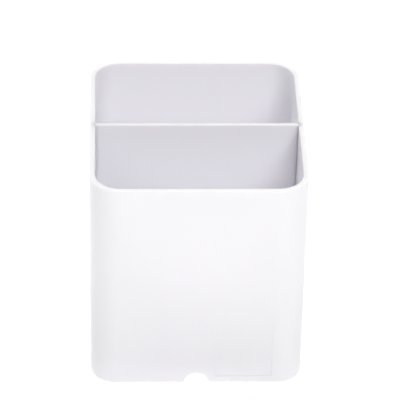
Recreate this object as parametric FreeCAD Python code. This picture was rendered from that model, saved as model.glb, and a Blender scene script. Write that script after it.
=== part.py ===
"""Two-compartment pen holder cup: a moulded open cup with rounded corners, an upright divider plate let
into grooves across its middle, and four rubber feet in pockets under its floor.

Millimetres, +Z up. The origin is the middle of the footprint on the table, +X is the cup's right and -Y its
front, where the half-round notch in the skirt and the shallow plain panel are.
"""
import FreeCAD
import Part

import math
import os

from FreeCAD import Vector

# Overall sizes, outside, at the rim
CUP_WIDTH = 91.5
CUP_DEPTH = 103.5
CUP_HEIGHT = 100.0
CORNER_RADIUS = 13.4
FOOT_CORNER_RADIUS = 11.2

# Walls and floor of the moulding
WALL = 2.3
OUTER_DRAFT = 0.15
INNER_DRAFT = 0.5
RIM_ROUND = 0.3
FLOOR_UNDERSIDE = 6.0
FLOOR_THICKNESS = 2.5
FLOOR_FILLET = 2.5

# Skirt below the floor
SKIRT_GAP = 0.5
SKIRT_WALL = 2.3
SKIRT_DRAFT = 1.0
BASE_ROUND = 0.5
NOTCH_RADIUS = 5.4
NOTCH_CENTRE_Z = 0.1
NOTCH_ROUND = 0.6
GATE_RADIUS = 1.5
GATE_LENGTH = 0.8

# Plain panel sunk into the front wall, at the lower right of its flat
PANEL_WIDTH = 25.0
PANEL_HEIGHT = 28.25
PANEL_LOW = 4.0
PANEL_SINK = 0.25
PANEL_CORNER = 1.2

# Divider plate and the grooves that hold its ends and foot
DIVIDER_THICKNESS = 1.7
DIVIDER_Y = 0.0
DIVIDER_TOP_ROUND = 0.25
GROOVE_DEPTH = 0.8
GROOVE_CLEARANCE = 0.04

# Rubber feet, each in a round pocket in a boss under the floor
FOOT_RADIUS = 4.0
FOOT_THICKNESS = 2.0
FOOT_ROUND = 0.4
FOOT_INSET = 12.75
FOOT_CLEARANCE = 0.1
BOSS_WALL = 1.4
POCKET_DEPTH = 1.0

# How far a cutter runs past what it cuts, and how closely an edge is matched to a height or an outline
CUT_OVERRUN = 1.0
EDGE_TOLERANCE = 0.01

HALF_X = CUP_WIDTH / 2
HALF_Y = CUP_DEPTH / 2
FLOOR_TOP = FLOOR_UNDERSIDE + FLOOR_THICKNESS


def lean(height, draft):
    """How far a wall with this draft moves sideways over a height."""
    return height * math.tan(math.radians(draft))


def outer_inset(z):
    """How far the outside of the wall stands in from the rim's outline at height z."""
    return lean(CUP_HEIGHT - z, OUTER_DRAFT)


def inner_inset(z):
    """How far the inside of the wall stands in from the rim's outline at height z."""
    return WALL + lean(CUP_HEIGHT - z, INNER_DRAFT)


def corner_radius(z):
    """The outside's corner radius at height z, which grows evenly from the table to the rim."""
    return FOOT_CORNER_RADIUS + (CORNER_RADIUS - FOOT_CORNER_RADIUS) * z / CUP_HEIGHT


def outline(inset, z):
    """The cup's outline at height z, moved in by an inset, as a closed wire of four sides and four arcs."""
    x, y = HALF_X - inset, HALF_Y - inset
    radius = corner_radius(z) - inset
    edges = []
    for quarter, (side_x, side_y) in enumerate([(1, 1), (-1, 1), (-1, -1), (1, -1)]):
        centre = Vector(side_x * (x - radius), side_y * (y - radius), z)
        turns = [math.radians(90 * quarter + turn) for turn in (0, 45, 90)]
        start, middle, end = [centre + Vector(math.cos(t), math.sin(t), 0) * radius for t in turns]
        if edges:
            edges.append(Part.makeLine(edges[-1].Vertexes[-1].Point, start))
        edges.append(Part.Arc(start, middle, end).toShape())
    edges.append(Part.makeLine(edges[-1].Vertexes[-1].Point, edges[0].Vertexes[0].Point))
    return Part.Wire(edges)


def rounded_block(low, high, inset_low, inset_high):
    """A solid between two heights whose plan is the cup's outline, moved in by the insets at its foot and top."""
    return Part.makeLoft([outline(inset_low, low), outline(inset_high, high)], True, True)


def level_edges(shape, z, inset=0.0):
    """The edges that lie at height z and stay at least the inset inside the rim's outline."""
    found = []
    for edge in shape.Edges:
        box = edge.BoundBox
        off_level = max(abs(box.ZMin - z), abs(box.ZMax - z))
        beyond_x = max(-box.XMin, box.XMax) - (HALF_X - inset)
        beyond_y = max(-box.YMin, box.YMax) - (HALF_Y - inset)
        if max(off_level, beyond_x, beyond_y) < EDGE_TOLERANCE:
            found.append(edge)
    return found


def outer_shell_block():
    """The cup's outside as a full block, rounded at the rim and at the skirt's foot."""
    block = rounded_block(SKIRT_GAP, CUP_HEIGHT, outer_inset(SKIRT_GAP), outer_inset(CUP_HEIGHT))
    block = block.makeFillet(RIM_ROUND, level_edges(block, CUP_HEIGHT))
    return block.makeFillet(BASE_ROUND, level_edges(block, SKIRT_GAP))


def cavity():
    """The space inside the cup above its floor, with rounded floor edges."""
    space = rounded_block(FLOOR_TOP, CUP_HEIGHT, inner_inset(FLOOR_TOP), inner_inset(CUP_HEIGHT))
    return space.makeFillet(FLOOR_FILLET, level_edges(space, FLOOR_TOP))


def skirt_recess():
    """The space under the floor, wider towards the table so that the moulding leaves its tool."""
    low = SKIRT_GAP
    inset_top = outer_inset(FLOOR_UNDERSIDE) + SKIRT_WALL
    return rounded_block(low, FLOOR_UNDERSIDE, inset_top - lean(FLOOR_UNDERSIDE - low, SKIRT_DRAFT), inset_top)


def foot_places():
    """Name and centre of each foot."""
    x, y = HALF_X - FOOT_INSET, HALF_Y - FOOT_INSET
    return {
        "foot_front_left": Vector(-x, -y, 0),
        "foot_front_right": Vector(x, -y, 0),
        "foot_rear_left": Vector(-x, y, 0),
        "foot_rear_right": Vector(x, y, 0),
    }


def foot_boss(place):
    """A round boss from the floor down to just above the table, for one foot."""
    low = FOOT_THICKNESS - POCKET_DEPTH
    radius = FOOT_RADIUS + FOOT_CLEARANCE + BOSS_WALL
    return Part.makeCylinder(radius, FLOOR_UNDERSIDE + FLOOR_THICKNESS / 2 - low, place + Vector(0, 0, low))


def foot_pocket(place):
    """The pocket in a boss that one foot is bonded into."""
    low = FOOT_THICKNESS - POCKET_DEPTH - CUT_OVERRUN
    return Part.makeCylinder(FOOT_RADIUS + FOOT_CLEARANCE, FOOT_THICKNESS - low, place + Vector(0, 0, low))


def notch():
    """A round bar across the front skirt, flared outwards, that leaves the half-round notch with a rounded edge."""
    wall_face = -HALF_Y + outer_inset(NOTCH_CENTRE_Z + NOTCH_RADIUS)
    wide = NOTCH_RADIUS + NOTCH_ROUND
    low = -HALF_Y - CUT_OVERRUN
    high = wall_face + SKIRT_WALL + 2 * CUT_OVERRUN

    def point(radius, y):
        return Vector(0, y, NOTCH_CENTRE_Z + radius)

    flare_end = point(NOTCH_RADIUS, wall_face + NOTCH_ROUND)
    flare_side = NOTCH_ROUND * (1 - math.sqrt(0.5))
    flare_middle = point(NOTCH_RADIUS + flare_side, wall_face + flare_side)
    flare = Part.Arc(point(wide, wall_face), flare_middle, flare_end).toShape()
    before = Part.makePolygon([point(0, low), point(wide, low), point(wide, wall_face)])
    after = Part.makePolygon([flare_end, point(NOTCH_RADIUS, high), point(0, high), point(0, low)])
    outline = Part.Wire(before.Edges + [flare] + after.Edges)
    return Part.Face(outline).revolve(point(0, 0), Vector(0, 1, 0), 360)


def panel():
    """The slab that sinks the plain panel into the leaning front wall."""
    left = HALF_X - CORNER_RADIUS - PANEL_WIDTH
    corner = Vector(left, -HALF_Y - CUT_OVERRUN, PANEL_LOW)
    slab = Part.makeBox(PANEL_WIDTH, CUT_OVERRUN + PANEL_SINK, PANEL_HEIGHT, corner)
    across = [e for e in slab.Edges if e.BoundBox.YLength > PANEL_SINK]
    slab = slab.makeFillet(PANEL_CORNER, across)
    slab.rotate(Vector(0, -HALF_Y, CUP_HEIGHT), Vector(1, 0, 0), OUTER_DRAFT)
    return slab


def divider_plate(extra, top):
    """The divider as a plain plate that follows the leaning side walls, grown by extra at its ends and faces."""
    low = FLOOR_TOP - GROOVE_DEPTH

    def reach(z):
        return HALF_X - inner_inset(z) + GROOVE_DEPTH + extra

    outline = [(-reach(low), low), (reach(low), low), (reach(top), top), (-reach(top), top)]
    half = DIVIDER_THICKNESS / 2 + extra
    points = [Vector(x, DIVIDER_Y - half, z) for x, z in outline]
    face = Part.Face(Part.makePolygon(points + points[:1]))
    return face.extrude(Vector(0, 2 * half, 0))


def cup_body():
    """The cup's one moulding: walls, floor, skirt and foot bosses, with its cuts."""
    body = outer_shell_block().cut([cavity(), skirt_recess()])
    body = body.makeFillet(RIM_ROUND, level_edges(body, CUP_HEIGHT, WALL))
    gate_low = FLOOR_UNDERSIDE - GATE_LENGTH
    gate = Part.makeCylinder(GATE_RADIUS, GATE_LENGTH + FLOOR_THICKNESS / 2, Vector(0, 0, gate_low))
    body = body.fuse([foot_boss(p) for p in foot_places().values()] + [gate])
    body = body.cut([foot_pocket(p) for p in foot_places().values()])
    body = body.cut(notch())
    body = body.cut([panel(), divider_plate(GROOVE_CLEARANCE, CUP_HEIGHT + CUT_OVERRUN)])
    return body.removeSplitter()


def divider():
    """The upright plate that parts the cup into a front and a rear compartment."""
    plate = divider_plate(0, CUP_HEIGHT)
    long_edges = [e for e in level_edges(plate, CUP_HEIGHT) if e.BoundBox.XLength > DIVIDER_THICKNESS]
    return plate.makeFillet(DIVIDER_TOP_ROUND, long_edges)


def foot(place):
    """One rubber foot, rounded where it meets the table."""
    disc = Part.makeCylinder(FOOT_RADIUS, FOOT_THICKNESS, place)
    return disc.makeFillet(FOOT_ROUND, level_edges(disc, 0))


def main():
    nodes = {"cup_body": cup_body(), "divider": divider()}
    for name, place in foot_places().items():
        nodes[name] = foot(place)
    os.makedirs("parts", exist_ok=True)
    for name, shape in nodes.items():
        if not shape.isValid() or len(shape.Solids) != 1:
            raise RuntimeError(f"{name} is not one valid solid")
        shape.Solids[0].exportStep(f"parts/{name}.step")
        box = shape.BoundBox
        print(f"{name}: {shape.Volume / 1000:.2f} cm3, z {box.ZMin:.2f} to {box.ZMax:.2f}")


main()
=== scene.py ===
"""Two-compartment pen cup: its finished looks, laid out as an add-on and run as a script.

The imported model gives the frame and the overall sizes. Each piece is built over the node it stands for, in
metres, with +Z up and the front, where the notch and the sunk panel are, towards -Y.
"""
import math

import bmesh
import bpy
from bpy.props import FloatProperty, FloatVectorProperty, PointerProperty
from mathutils import Euler, Matrix, Vector


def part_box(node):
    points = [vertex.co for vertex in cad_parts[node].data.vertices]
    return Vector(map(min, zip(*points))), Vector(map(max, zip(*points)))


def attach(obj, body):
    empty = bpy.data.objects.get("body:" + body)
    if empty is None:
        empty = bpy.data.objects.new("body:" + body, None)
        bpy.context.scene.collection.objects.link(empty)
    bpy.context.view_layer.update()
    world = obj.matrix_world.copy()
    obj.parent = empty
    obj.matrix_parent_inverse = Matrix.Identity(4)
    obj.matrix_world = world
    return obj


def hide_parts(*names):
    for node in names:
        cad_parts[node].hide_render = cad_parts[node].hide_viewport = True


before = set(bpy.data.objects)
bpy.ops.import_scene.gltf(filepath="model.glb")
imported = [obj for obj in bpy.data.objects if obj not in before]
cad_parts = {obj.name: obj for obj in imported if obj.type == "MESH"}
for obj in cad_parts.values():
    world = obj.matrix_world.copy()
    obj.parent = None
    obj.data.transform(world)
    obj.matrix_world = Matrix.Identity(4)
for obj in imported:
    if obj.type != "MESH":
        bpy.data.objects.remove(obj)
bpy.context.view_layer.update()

bl_info = {
    "name": "Pen Cup",
    "version": (1, 0, 0),
    "blender": (4, 5, 0),
    "location": "3D View > Sidebar > Pen Cup",
    "description": "Builds a moulded pen cup with a divider plate, rubber feet and a studio stage",
    "category": "Add Mesh",
}

MM = 0.001
CUP_LOW, CUP_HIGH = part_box("cup_body")
FOOT_NAMES = ("front_left", "front_right", "rear_left", "rear_right")
FOOT_LOW, FOOT_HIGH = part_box("foot_front_left")

# Fineness of the rounds: faces to a quarter turn
CORNER_STEPS = 20
ROUND_STEPS = 5
SMALL_STEPS = 4
LATHE_STEPS = 64

SMOOTH_ANGLE = math.radians(25)
WELD = 1e-7
QUARTER = math.pi / 2

# Shares of a size that are not set on their own
PANEL_EDGE = 0.4
DISH = 0.62
PIN_ALONG_X = 0.42
PIN_ALONG_Y = 0.6

# The stage, in metres and degrees: turns run to the right of the front, rises up from the floor
FLOOR_REACH = 6.0
LIGHT_SIZE = 1.05
LIGHT_DISTANCE = 2.6
LIGHT_AIM = (0.0, 0.0, 0.06)
KEY_TURN, KEY_RISE = 16, 43
BACK_RISE = 50
BACK_LEFT_TURN, BACK_RIGHT_TURN = 228, 150
AIR_COLOUR = (0.985, 0.985, 1.0, 1.0)
CLIP_START, CLIP_END = 0.05, 50.0


# ---------------------------------------------------------------- sizes and colours

def length(name, value, text):
    """A length in metres that the user can set."""
    return FloatProperty(name=name, description=text, default=value, min=0.0, precision=5, unit="LENGTH")


def angle(name, degrees, text):
    """An angle that the user can set."""
    return FloatProperty(name=name, description=text, default=math.radians(degrees), subtype="ANGLE")


def share(name, value, text):
    """A factor from 0 to 1 that the user can set."""
    return FloatProperty(name=name, description=text, default=value, min=0.0, max=1.0, subtype="FACTOR")


def colour(name, value, text):
    """A linear colour that the user can set."""
    return FloatVectorProperty(name=name, description=text, default=value, min=0.0, max=1.0, subtype="COLOR")


def power(name, value, text):
    """A lamp's power in watts that the user can set."""
    return FloatProperty(name=name, description=text, default=value, unit="POWER")


class PENCUP_PG_cup(bpy.types.PropertyGroup):
    """Sizes of the moulded cup."""

    half_x: length("Half width", CUP_HIGH.x, "Half the cup's width outside, at the rim")
    half_y: length("Half depth", CUP_HIGH.y, "Half the cup's depth outside, at the rim")
    height: length("Height", CUP_HIGH.z, "The rim's height over the table")
    foot: length("Skirt foot", CUP_LOW.z, "The gap under the skirt")
    corner: length("Corner radius", 13.4 * MM, "Radius of the upright corners at the rim")
    foot_corner: length("Foot corner radius", 11.2 * MM, "Radius of the upright corners at the table")
    wall: length("Wall", 2.3 * MM, "Thickness of the wall at the rim")
    outer_draft: angle("Outer draft", 0.15, "Lean of the wall's outside")
    inner_draft: angle("Inner draft", 0.5, "Lean of the wall's inside")
    rim_round: length("Rim round", 0.3 * MM, "Radius of the rim's edges")
    base_round: length("Base round", 0.5 * MM, "Radius of the skirt's outer edge")
    underside: length("Floor underside", 6.0 * MM, "Height of the floor's underside")
    floor: length("Floor", 2.5 * MM, "Thickness of the floor")
    floor_round: length("Floor round", 2.5 * MM, "Radius between the floor and the walls")
    skirt: length("Skirt", 2.3 * MM, "Thickness of the skirt at the floor")
    skirt_draft: angle("Skirt draft", 1.0, "Lean of the skirt's inside")
    notch: length("Notch radius", 5.4 * MM, "Radius of the half-round notch")
    notch_drop: FloatProperty(
        name="Notch centre", description="Height of the notch's centre", default=0.1 * MM, unit="LENGTH"
    )
    notch_round: length("Notch round", 0.6 * MM, "Radius of the notch's front edge")
    panel_width: length("Panel width", 25.0 * MM, "Width of the sunk panel")
    panel_height: length("Panel height", 28.25 * MM, "Height of the sunk panel")
    panel_low: length("Panel foot", 4.0 * MM, "Height of the panel's lower edge")
    panel_sink: length("Panel sink", 0.25 * MM, "Depth of the panel")
    panel_corner: length("Panel corner", 1.2 * MM, "Radius of the panel's corners")


class PENCUP_PG_divider(bpy.types.PropertyGroup):
    """Sizes of the divider plate and of its grooves."""

    thickness: length("Thickness", 1.7 * MM, "Thickness of the plate")
    groove: length("Groove depth", 0.8 * MM, "How far the plate goes into the walls and the floor")
    clearance: length("Clearance", 0.01 * MM, "Gap round the plate in its grooves")
    top_round: length("Top round", 0.25 * MM, "Radius of the plate's top edges")


class PENCUP_PG_feet(bpy.types.PropertyGroup):
    """Sizes of the rubber feet and of the bosses that hold them."""

    radius: length("Radius", (FOOT_HIGH.x - FOOT_LOW.x) / 2, "Radius of a foot")
    height: length("Height", FOOT_HIGH.z, "Height of a foot")
    edge: length("Edge round", 0.4 * MM, "Radius of a foot's lower edge")
    pocket: length("Pocket depth", 1.0 * MM, "How far a foot goes into its boss")
    clearance: length("Clearance", 0.1 * MM, "Gap round a foot in its pocket")
    boss_wall: length("Boss wall", 1.4 * MM, "Wall of a boss round its pocket")


class PENCUP_PG_finish(bpy.types.PropertyGroup):
    """Colours and gloss of the materials."""

    plastic: colour("Plastic", (0.905, 0.89, 0.95), "Colour of the moulded plastic")
    plastic_roughness: share("Plastic roughness", 0.36, "Roughness of the moulded plastic")
    translucence: share("Translucence", 1.0, "Share of the light that enters the moulded plastic")
    spread: length("Light spread", 4.0 * MM, "How far that light spreads inside the plastic")
    rubber: colour("Rubber", (0.13, 0.135, 0.14), "Colour of the feet")
    floor: colour("Floor", (0.7, 0.7, 0.7), "Colour of the stage's floor")
    floor_glow: share("Floor glow", 0.52, "Light that the floor's paper gives off")


class PENCUP_PG_stage(bpy.types.PropertyGroup):
    """The camera, the lights and the floor."""

    camera: FloatVectorProperty(
        name="Camera",
        description="Place of the camera",
        default=(-0.03834, -1.05715, 0.77656),
        subtype="XYZ",
    )
    yaw: angle("Yaw", 2.18, "Turn of the camera to its right")
    pitch: angle("Pitch", 34.08, "Tilt of the camera downwards")
    roll: angle("Roll", 1.17, "Tilt of the camera about its own line of sight")
    lens: FloatProperty(name="Lens", description="Focal length in millimetres", default=264.55)
    ambient: FloatProperty(name="Ambient", description="Strength of the light from all round", default=0.17)
    key: power("Key", 29.0, "Power of the softbox at the front right")
    back: power("Back", 29.0, "Power of each softbox at the back")


class PENCUP_PG_settings(bpy.types.PropertyGroup):
    """All that the user can set."""

    cup: PointerProperty(type=PENCUP_PG_cup)
    divider: PointerProperty(type=PENCUP_PG_divider)
    feet: PointerProperty(type=PENCUP_PG_feet)
    finish: PointerProperty(type=PENCUP_PG_finish)
    stage: PointerProperty(type=PENCUP_PG_stage)


# ---------------------------------------------------------------- the wall's section

def outer_inset(cup, z):
    """How far the wall's outside stands in from the rim's outline at a height."""
    return (cup.height - z) * math.tan(cup.outer_draft)


def inner_inset(cup, z):
    """How far the wall's inside stands in from the rim's outline at a height."""
    return cup.wall + (cup.height - z) * math.tan(cup.inner_draft)


def skirt_inset(cup, z):
    """How far the skirt's inside stands in from the rim's outline at a height."""
    at_floor = outer_inset(cup, cup.underside) + cup.skirt
    return at_floor - (cup.underside - z) * math.tan(cup.skirt_draft)


def corner_radius(cup, z):
    """The outside's corner radius at a height, which grows evenly from the table to the rim."""
    return cup.foot_corner + (cup.corner - cup.foot_corner) * z / cup.height


def quarter_turn(steps):
    """The angles of a quarter turn."""
    return [QUARTER * i / steps for i in range(steps + 1)]


def leaving(inset, z, radius, rise, steps):
    """A quarter turn that leaves an upright wall at a point and ends level, up or down by its radius."""
    turns = quarter_turn(steps)
    return [(inset + radius * (1 - math.cos(t)), z + rise * radius * math.sin(t)) for t in turns]


def joining(inset, z, radius, rise, steps):
    """A quarter turn that starts level and ends along an upright wall, up or down by its radius."""
    turns = quarter_turn(steps)
    return [(inset - radius * (1 - math.sin(t)), z - rise * radius * math.cos(t)) for t in turns]


def upper_section(cup):
    """The section from the top of the wall's outside over the rim to the floor, as (inset, height)."""
    shoulder = cup.height - cup.rim_round
    floor_top = cup.underside + cup.floor
    foot = floor_top + cup.floor_round
    rim = leaving(outer_inset(cup, shoulder), shoulder, cup.rim_round, 1, ROUND_STEPS)
    lip = joining(inner_inset(cup, shoulder), shoulder, cup.rim_round, -1, ROUND_STEPS)
    return rim + lip + leaving(inner_inset(cup, foot), foot, cup.floor_round, -1, 2 * SMALL_STEPS)


def lower_section(cup):
    """The section from the top of the wall's outside down round the skirt and up to the floor's underside."""
    shoulder = cup.height - cup.rim_round
    turn = cup.foot + cup.base_round
    inner_round = cup.rim_round / 2
    lip = cup.foot + inner_round
    root = cup.underside - inner_round
    section = [(outer_inset(cup, shoulder), shoulder)]
    section += leaving(outer_inset(cup, turn), turn, cup.base_round, -1, 2 * SMALL_STEPS)
    section += joining(skirt_inset(cup, lip), lip, inner_round, 1, SMALL_STEPS)
    return section + leaving(skirt_inset(cup, root), root, inner_round, 1, SMALL_STEPS)


# ---------------------------------------------------------------- mesh work

def rounded_face(bm, half_x, half_y, radius, z):
    """One flat face with rounded corners, at a height."""
    verts = bmesh.ops.create_grid(bm, x_segments=1, y_segments=1, size=1.0)["verts"]
    bmesh.ops.scale(bm, vec=(half_x, half_y, 1.0), verts=verts)
    bmesh.ops.translate(bm, vec=(0.0, 0.0, z), verts=verts)
    bevelled = bmesh.ops.bevel(
        bm, geom=verts, offset=radius, offset_type="OFFSET", affect="VERTICES",
        segments=CORNER_STEPS, profile=0.5, material=-1,
    )
    return bevelled["verts"][0].link_faces[0]


def carry_on(bm, face, here, there):
    """Carries a rounded face on from one outline to the next, leaving a band of faces behind it."""
    face = bmesh.ops.extrude_discrete_faces(bm, faces=[face])["faces"][0]
    shrink = there[2] / here[2]
    for side_x in (-1, 1):
        for side_y in (-1, 1):
            corner = [v for v in face.verts if v.co.x * side_x > 0 and v.co.y * side_y > 0]
            old, new = (Vector((side_x * (o[0] - o[2]), side_y * (o[1] - o[2]), o[3])) for o in (here, there))
            bmesh.ops.scale(bm, vec=(shrink, shrink, 1.0), space=Matrix.Translation(-old), verts=corner)
            bmesh.ops.translate(bm, vec=new - old, verts=corner)
    return face


def loft(bm, outlines):
    """A solid through flat rounded outlines, each given as (half x, half y, corner radius, height)."""
    face = rounded_face(bm, *outlines[0])
    for here, there in zip(outlines, outlines[1:]):
        face = carry_on(bm, face, here, there)
    bmesh.ops.holes_fill(bm, edges=[e for e in bm.edges if e.is_boundary], sides=0)


def close_up(bm):
    """Welds what meets and turns the faces outwards."""
    bmesh.ops.remove_doubles(bm, verts=bm.verts, dist=WELD)
    bmesh.ops.recalc_face_normals(bm, faces=bm.faces)


def lathe(bm, profile, matrix):
    """A turned solid: a profile of (radius, height) from axis to axis, spun round Z and placed."""
    verts = [bm.verts.new((radius, 0.0, z)) for radius, z in profile]
    edges = [bm.edges.new(pair) for pair in zip(verts, verts[1:])]
    before = set(bm.verts) - set(verts)
    bmesh.ops.spin(
        bm, geom=verts + edges, cent=(0.0, 0.0, 0.0), axis=(0.0, 0.0, 1.0), dvec=(0.0, 0.0, 0.0),
        angle=2 * math.pi, steps=LATHE_STEPS, use_merge=True,
    )
    made = [v for v in bm.verts if v not in before]
    bmesh.ops.transform(bm, matrix=matrix, verts=made)


def upright_plate(bm, cup, divider, extra, top):
    """The divider as a plain plate that follows the leaning walls, grown by extra at its ends and faces."""
    low = cup.underside + cup.floor - divider.groove
    verts = bmesh.ops.create_cube(bm, size=2.0)["verts"]
    for vert in verts:
        z = top if vert.co.z > 0 else low
        reach = cup.half_x - inner_inset(cup, z) + divider.groove + extra
        vert.co = Vector((vert.co.x * reach, vert.co.y * (divider.thickness / 2 + extra), z))
    return verts


def finish_mesh(bm, name):
    """A mesh from the bmesh, which is then freed."""
    close_up(bm)
    mesh = bpy.data.meshes.new(name)
    bm.to_mesh(mesh)
    bm.free()
    return mesh


def add_object(name, mesh):
    """Puts a mesh in the scene under a name, in place of an earlier one of that name."""
    earlier = bpy.data.objects.get(name)
    if earlier is not None:
        bpy.data.objects.remove(earlier)
    piece = bpy.data.objects.new(name, mesh)
    bpy.context.scene.collection.objects.link(piece)
    return piece


def bake_modifiers(piece):
    """Makes the modified mesh the piece's own."""
    graph = bpy.context.evaluated_depsgraph_get()
    mesh = bpy.data.meshes.new_from_object(piece.evaluated_get(graph))
    piece.modifiers.clear()
    piece.data = mesh
    mesh.name = piece.name


def carve(piece, tool_mesh, operation):
    """Joins a tool's shape to a piece, or cuts it out of it."""
    tool = add_object(piece.name + "_tool", tool_mesh)
    modifier = piece.modifiers.new(operation.title(), "BOOLEAN")
    modifier.operation = operation
    modifier.solver = "EXACT"
    modifier.object = tool
    bpy.context.view_layer.update()
    bake_modifiers(piece)
    bpy.data.objects.remove(tool)


def smooth_shading(piece):
    """Smooth faces with crisp edges where they turn sharply, and flats that stay flat beside their rounds."""
    piece.data.shade_smooth()
    piece.data.set_sharp_from_angle(angle=SMOOTH_ANGLE)
    modifier = piece.modifiers.new("weighted_normals", "WEIGHTED_NORMAL")
    modifier.keep_sharp = True
    bake_modifiers(piece)


def hand_over(piece, node, material):
    """Gives a piece its material and its place in the frame."""
    piece.data.materials.clear()
    piece.data.materials.append(material)
    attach(piece, "root")
    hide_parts(node)


# ---------------------------------------------------------------- the cup

def cup_outline(cup, inset, z):
    """The cup's outline at a height, moved in by an inset."""
    return cup.half_x - inset, cup.half_y - inset, corner_radius(cup, z) - inset, z


def cup_shell(cup):
    """The cup's walls, floor and skirt, before anything is cut or joined."""
    bm = bmesh.new()
    loft(bm, [cup_outline(cup, *point) for point in lower_section(cup)[:0:-1] + upper_section(cup)])
    return finish_mesh(bm, "cup_shell")


def foot_places():
    """Each foot's name and the middle of its footprint."""
    return {name: sum(map(Vector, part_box("foot_" + name)), Vector()) / 2 for name in FOOT_NAMES}


def bosses(cup, feet):
    """The four bosses with their pockets, and the stub of the gate."""
    bm = bmesh.new()
    pocket_radius = feet.radius + feet.clearance
    radius = pocket_radius + feet.boss_wall
    low = feet.height - feet.pocket
    root = cup.underside + cup.floor / 2
    edge = cup.rim_round / 2
    outside = [(radius - edge * (1 - math.sin(t)), low + edge * (1 - math.cos(t)))
               for t in quarter_turn(SMALL_STEPS)]
    profile = [(0.0, feet.height), (pocket_radius, feet.height), (pocket_radius, low)]
    profile += outside + [(radius, root), (0.0, root)]
    for place in foot_places().values():
        lathe(bm, profile, Matrix.Translation((place.x, place.y, 0.0)))
    gate_radius, gate_length, gate_edge = 1.5 * MM, 0.8 * MM, 0.2 * MM
    tip = cup.underside - gate_length
    gate = [(0.0, tip + gate_edge), (gate_radius - gate_edge, tip), (gate_radius, tip + gate_edge)]
    lathe(bm, gate + [(gate_radius, root), (0.0, root)], Matrix.Identity(4))
    return finish_mesh(bm, "bosses")


def notch_tool(bm, cup):
    """The half-round notch through the front skirt, flared at the skirt's outside and inside."""
    top = cup.notch_drop + cup.notch
    face = cup.half_y - outer_inset(cup, top)
    back = cup.half_y - skirt_inset(cup, top)
    over = cup.skirt
    turns = quarter_turn(ROUND_STEPS)
    soft = cup.notch_round
    front = [(cup.notch + soft * (1 - math.sin(t)), -face + soft * (1 - math.cos(t))) for t in turns]
    small = soft / 2
    rear = [(cup.notch + small * (1 - math.cos(t)), -back - small * (1 - math.sin(t))) for t in turns]
    profile = [(0.0, -face - over), (front[0][0], -face - over)] + front + rear
    profile += [(rear[-1][0], -back + over), (0.0, -back + over)]
    along_y = Matrix.Translation((0.0, 0.0, cup.notch_drop)) @ Matrix.Rotation(-QUARTER, 4, "X")
    lathe(bm, profile, along_y)


def panel_tool(bm, cup):
    """The shallow plain panel in the front wall, with softened edges."""
    soft = cup.panel_sink * PANEL_EDGE
    before = set(bm.verts)
    section = [(0.0, cup.wall / 2)]
    section += [(soft * math.sin(t), -soft * (1 - math.cos(t))) for t in quarter_turn(SMALL_STEPS)]
    section += leaving(soft, soft - cup.panel_sink, soft, -1, SMALL_STEPS)
    half_x, half_y = cup.panel_width / 2 + soft, cup.panel_height / 2 + soft
    loft(bm, [(half_x - inset, half_y - inset, cup.panel_corner + soft - inset, z) for inset, z in section])
    made = [v for v in bm.verts if v not in before]
    across = cup.half_x - cup.corner - cup.panel_width / 2
    middle = Vector((across, -cup.half_y, cup.panel_low + cup.panel_height / 2))
    rim = Vector((0.0, -cup.half_y, cup.height))
    lean = Matrix.Translation(rim) @ Matrix.Rotation(cup.outer_draft, 4, "X") @ Matrix.Translation(-rim)
    stand = Matrix.Translation(middle) @ Matrix.Rotation(QUARTER, 4, "X")
    bmesh.ops.transform(bm, matrix=lean @ stand, verts=made)


def ejector_marks(bm, cup):
    """Round witness marks of the mould's ejector pins, in the floor's underside."""
    radius, depth, over = 2.5 * MM, 0.12 * MM, 1.0 * MM
    top, low = cup.underside + depth, cup.underside - over
    profile = [(0.0, top), (radius, top), (radius, low), (0.0, low)]
    for x in (-1, 1):
        for y in (-1, 0, 1):
            place = (x * cup.half_x * PIN_ALONG_X, y * cup.half_y * PIN_ALONG_Y, 0.0)
            lathe(bm, profile, Matrix.Translation(place))


def cuts(cup, divider):
    """All that is cut out of the cup."""
    bm = bmesh.new()
    notch_tool(bm, cup)
    panel_tool(bm, cup)
    ejector_marks(bm, cup)
    upright_plate(bm, cup, divider, divider.clearance, cup.height + cup.wall)
    return finish_mesh(bm, "cuts")


class PENCUP_OT_cup(bpy.types.Operator):
    """Build the moulded cup with its bosses, notch, panel and grooves"""

    bl_idname = "pencup.cup"
    bl_label = "Moulded Cup"

    def execute(self, context):
        settings = context.scene.pen_cup
        cup, divider, feet = settings.cup, settings.divider, settings.feet
        piece = add_object("cup_shell", cup_shell(cup))
        carve(piece, bosses(cup, feet), "UNION")
        carve(piece, cuts(cup, divider), "DIFFERENCE")
        smooth_shading(piece)
        hand_over(piece, "cup_body", moulded_plastic("cup_plastic", settings.finish))
        return {"FINISHED"}


# ---------------------------------------------------------------- the divider

class PENCUP_OT_divider(bpy.types.Operator):
    """Build the upright plate that parts the cup"""

    bl_idname = "pencup.divider"
    bl_label = "Divider Plate"

    def execute(self, context):
        settings = context.scene.pen_cup
        cup, divider = settings.cup, settings.divider
        bm = bmesh.new()
        upright_plate(bm, cup, divider, 0.0, cup.height)
        long_top = [e for e in bm.edges if min(v.co.z for v in e.verts) > cup.height - WELD
                    and abs(e.verts[0].co.x - e.verts[1].co.x) > divider.thickness]
        bmesh.ops.bevel(
            bm, geom=long_top, offset=divider.top_round, offset_type="OFFSET", affect="EDGES",
            segments=ROUND_STEPS, profile=0.5, material=-1,
        )
        piece = add_object("divider_plate", finish_mesh(bm, "divider_plate"))
        smooth_shading(piece)
        hand_over(piece, "divider", moulded_plastic("divider_plastic", settings.finish))
        return {"FINISHED"}


# ---------------------------------------------------------------- the feet

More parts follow.
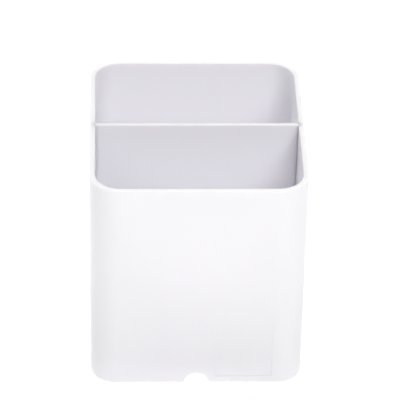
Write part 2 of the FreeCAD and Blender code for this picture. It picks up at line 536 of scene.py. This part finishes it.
class PENCUP_OT_feet(bpy.types.Operator):
    """Build the rubber feet, each with a rounded edge and a shallow dish underneath"""

    bl_idname = "pencup.feet"
    bl_label = "Rubber Feet"

    def execute(self, context):
        settings = context.scene.pen_cup
        feet = settings.feet
        material = moulded_rubber("foot_rubber", settings.finish)
        dish_radius, dish_depth, dish_edge = feet.radius * DISH, 0.2 * MM, 0.25 * MM
        edge = [(feet.radius - feet.edge * (1 - math.sin(t)), feet.edge * (1 - math.cos(t)))
                for t in quarter_turn(ROUND_STEPS)]
        profile = [(0.0, dish_depth), (dish_radius - dish_edge, dish_depth), (dish_radius, 0.0)]
        profile += edge + [(feet.radius, feet.height), (0.0, feet.height)]
        for name, place in foot_places().items():
            bm = bmesh.new()
            lathe(bm, profile, Matrix.Translation((place.x, place.y, 0.0)))
            piece = add_object("foot_pad_" + name, finish_mesh(bm, "foot_pad_" + name))
            smooth_shading(piece)
            hand_over(piece, "foot_" + name, material)
        return {"FINISHED"}


# ---------------------------------------------------------------- materials

class Value:
    """A socket of a material's node. Arithmetic on it adds Math nodes."""

    def __init__(self, finish, socket):
        self.finish = finish
        self.socket = socket

    def maths(self, operation, first, second):
        """Adds a Math node over two values or numbers."""
        return self.finish.node("ShaderNodeMath", {"operation": operation}, {0: first, 1: second})

    def __add__(self, other):
        return self.maths("ADD", self, other)

    __radd__ = __add__

    def __sub__(self, other):
        return self.maths("SUBTRACT", self, other)

    def __rsub__(self, other):
        return self.maths("SUBTRACT", other, self)

    def __mul__(self, other):
        return self.maths("MULTIPLY", self, other)

    __rmul__ = __mul__


class Finish:
    """A material under construction: its tree, its shader and one way to add any node."""

    def __init__(self, name):
        self.material = bpy.data.materials.new(name)
        self.material.use_nodes = True
        self.tree = self.material.node_tree
        self.shader = self.tree.nodes["Principled BSDF"]

    def put(self, socket, value):
        """Sets a socket to a number or colour, or links a value to it."""
        if isinstance(value, Value):
            self.tree.links.new(value.socket, socket)
        else:
            socket.default_value = value

    def node(self, kind, settings, inputs, output=0):
        """Adds a node, makes its settings, feeds its inputs and gives one of its outputs."""
        node = self.tree.nodes.new(kind)
        for name, setting in settings.items():
            setattr(node, name, setting)
        for name, value in inputs.items():
            self.put(node.inputs[name], value)
        return Value(self, node.outputs[output])

    def surface(self, **inputs):
        """Feeds the shader's sockets, named with underscores for spaces."""
        for name, value in inputs.items():
            self.put(self.shader.inputs[name.replace("_", " ")], value)

    def place(self):
        """The point on the piece, in metres."""
        return self.node("ShaderNodeTexCoord", {}, {}, "Object")

    def noise(self, where, scale, detail):
        """Cloudy noise from 0 to 1, with this many cells to the metre."""
        return self.node("ShaderNodeTexNoise", {}, {"Vector": where, "Scale": scale, "Detail": detail})

    def stretched(self, where, scale):
        """The place, squeezed or stretched along the axes."""
        return self.node("ShaderNodeMapping", {}, {"Vector": where, "Scale": scale})

    def blend(self, factor, first, second):
        """A colour between two colours."""
        settings = {"data_type": "RGBA"}
        inputs = {"Factor": factor, 6: first, 7: second}
        return self.node("ShaderNodeMix", settings, inputs, 2)

    def bump(self, height, distance, strength):
        """A normal from a height field."""
        inputs = {"Height": height, "Distance": distance, "Strength": strength}
        return self.node("ShaderNodeBump", {}, inputs)


def tinted(rgb, gain):
    """A colour made a little lighter or darker, with full alpha."""
    return tuple(min(c * gain, 1.0) for c in rgb) + (1.0,)


def moulded_plastic(name, finish):
    """White moulded plastic: a satin, slightly translucent skin with faint flow marks and orange peel."""
    made = Finish(name)
    where = made.place()
    flow = made.noise(made.stretched(where, (1.0, 1.0, 0.3)), scale=45.0, detail=3.0)
    peel = made.noise(where, scale=900.0, detail=2.0)
    grain = made.noise(where, scale=5200.0, detail=1.0)
    body = made.blend(flow, tinted(finish.plastic, 0.992), tinted(finish.plastic, 1.006))
    made.surface(
        Base_Color=body,
        Roughness=finish.plastic_roughness + 0.08 * (flow - 0.5) + 0.10 * (grain - 0.5),
        Normal=made.bump(peel + 0.35 * grain, 0.02 * MM, 0.25),
        IOR=1.55,
        Specular_IOR_Level=0.45,
        Subsurface_Weight=finish.translucence,
        Subsurface_Radius=(1.0, 1.0, 1.0),
        Subsurface_Scale=finish.spread,
    )
    return made.material


def moulded_rubber(name, finish):
    """Matt rubber with a fine grain and a few paler specks."""
    made = Finish(name)
    where = made.place()
    cloud = made.noise(where, scale=350.0, detail=3.0)
    grain = made.noise(where, scale=4200.0, detail=3.0)
    made.surface(
        Base_Color=made.blend(cloud, tinted(finish.rubber, 0.85), tinted(finish.rubber, 1.2)),
        Roughness=0.78 + 0.2 * (grain - 0.5),
        Normal=made.bump(grain, 0.05 * MM, 0.6),
        IOR=1.5,
    )
    return made.material


def stage_paper(name, finish):
    """Matt white backdrop paper with a faint tooth."""
    made = Finish(name)
    tooth = made.noise(made.place(), scale=1500.0, detail=2.0)
    made.surface(
        Base_Color=made.blend(tooth, tinted(finish.floor, 0.995), tinted(finish.floor, 1.005)),
        Roughness=0.9,
        Specular_IOR_Level=0.2,
        Emission_Color=(1.0, 1.0, 1.0, 1.0),
        Emission_Strength=finish.floor_glow,
    )
    return made.material


# ---------------------------------------------------------------- the stage

def softbox(name, turn, rise, energy):
    """A square softbox that looks at the cup, turned right of the front and raised from the floor."""
    light = bpy.data.lights.new(name, "AREA")
    light.size = LIGHT_SIZE
    light.energy = energy
    lamp = bpy.data.objects.new(name, light)
    bpy.context.scene.collection.objects.link(lamp)
    facing = Euler((QUARTER - math.radians(rise), 0.0, math.radians(turn))).to_matrix().to_4x4()
    away = Matrix.Translation((0.0, 0.0, LIGHT_DISTANCE))
    lamp.matrix_world = Matrix.Translation(LIGHT_AIM) @ facing @ away


class PENCUP_OT_stage(bpy.types.Operator):
    """Lay the floor, hang the lights and place the camera"""

    bl_idname = "pencup.stage"
    bl_label = "Studio Stage"

    def execute(self, context):
        settings = context.scene.pen_cup
        self.lay_floor(settings)
        self.hang_lights(context, settings)
        self.place_camera(context, settings.stage)
        return {"FINISHED"}

    def lay_floor(self, settings):
        """Lays the pale floor."""
        bm = bmesh.new()
        bmesh.ops.create_grid(bm, x_segments=8, y_segments=8, size=FLOOR_REACH)
        mesh = bpy.data.meshes.new("studio_floor")
        bm.to_mesh(mesh)
        bm.free()
        mesh.materials.append(stage_paper("stage_paper", settings.finish))
        floor = add_object("studio_floor", mesh)

    def hang_lights(self, context, settings):
        """Hangs the softboxes, sets the light from all round and keeps the colours plain."""
        stage = settings.stage
        world = bpy.data.worlds.new("studio_air")
        world.use_nodes = True
        air = world.node_tree.nodes["Background"]
        air.inputs["Color"].default_value = AIR_COLOUR
        air.inputs["Strength"].default_value = stage.ambient
        context.scene.world = world
        softbox("key_softbox", KEY_TURN, KEY_RISE, stage.key)
        softbox("back_left_softbox", BACK_LEFT_TURN, BACK_RISE, stage.back)
        softbox("back_right_softbox", BACK_RIGHT_TURN, BACK_RISE, stage.back)
        context.scene.view_settings.view_transform = "Standard"

    def place_camera(self, context, stage):
        """Places the camera and makes it the scene's own."""
        camera = bpy.data.cameras.new("studio_camera")
        camera.lens = stage.lens
        camera.clip_start = CLIP_START
        camera.clip_end = CLIP_END
        body = bpy.data.objects.new("studio_camera", camera)
        body.location = stage.camera
        turn = Matrix.Rotation(-stage.yaw, 4, "Z") @ Matrix.Rotation(QUARTER - stage.pitch, 4, "X")
        body.rotation_euler = (turn @ Matrix.Rotation(stage.roll, 4, "Z")).to_euler()
        context.scene.collection.objects.link(body)
        context.scene.camera = body


class PENCUP_PT_sidebar(bpy.types.Panel):
    """The sidebar's list of pieces and settings"""

    bl_label = "Pen Cup"
    bl_idname = "PENCUP_PT_sidebar"
    bl_space_type = "VIEW_3D"
    bl_region_type = "UI"
    bl_category = "Pen Cup"

    def draw(self, context):
        """Lists each operator with the settings that it reads."""
        settings = context.scene.pen_cup
        for operator, group in (
            (PENCUP_OT_cup, settings.cup),
            (PENCUP_OT_divider, settings.divider),
            (PENCUP_OT_feet, settings.feet),
            (PENCUP_OT_stage, settings.stage),
        ):
            box = self.layout.box()
            box.operator(operator.bl_idname)
            for name in group.__annotations__:
                box.prop(group, name)
        box = self.layout.box()
        for name in settings.finish.__annotations__:
            box.prop(settings.finish, name)


# ---------------------------------------------------------------- the add-on

CLASSES = (
    PENCUP_PG_cup,
    PENCUP_PG_divider,
    PENCUP_PG_feet,
    PENCUP_PG_finish,
    PENCUP_PG_stage,
    PENCUP_PG_settings,
    PENCUP_OT_cup,
    PENCUP_OT_divider,
    PENCUP_OT_feet,
    PENCUP_OT_stage,
    PENCUP_PT_sidebar,
)


def register():
    """Adds the add-on's classes and its settings."""
    for each in CLASSES:
        bpy.utils.register_class(each)
    bpy.types.Scene.pen_cup = PointerProperty(type=PENCUP_PG_settings)


def unregister():
    """Takes the add-on's classes and its settings away again."""
    del bpy.types.Scene.pen_cup
    for each in reversed(CLASSES):
        bpy.utils.unregister_class(each)


def main():
    """Builds every piece and the stage."""
    register()
    bpy.ops.pencup.cup()
    bpy.ops.pencup.divider()
    bpy.ops.pencup.feet()
    bpy.ops.pencup.stage()


if __name__ == "__main__":
    main()
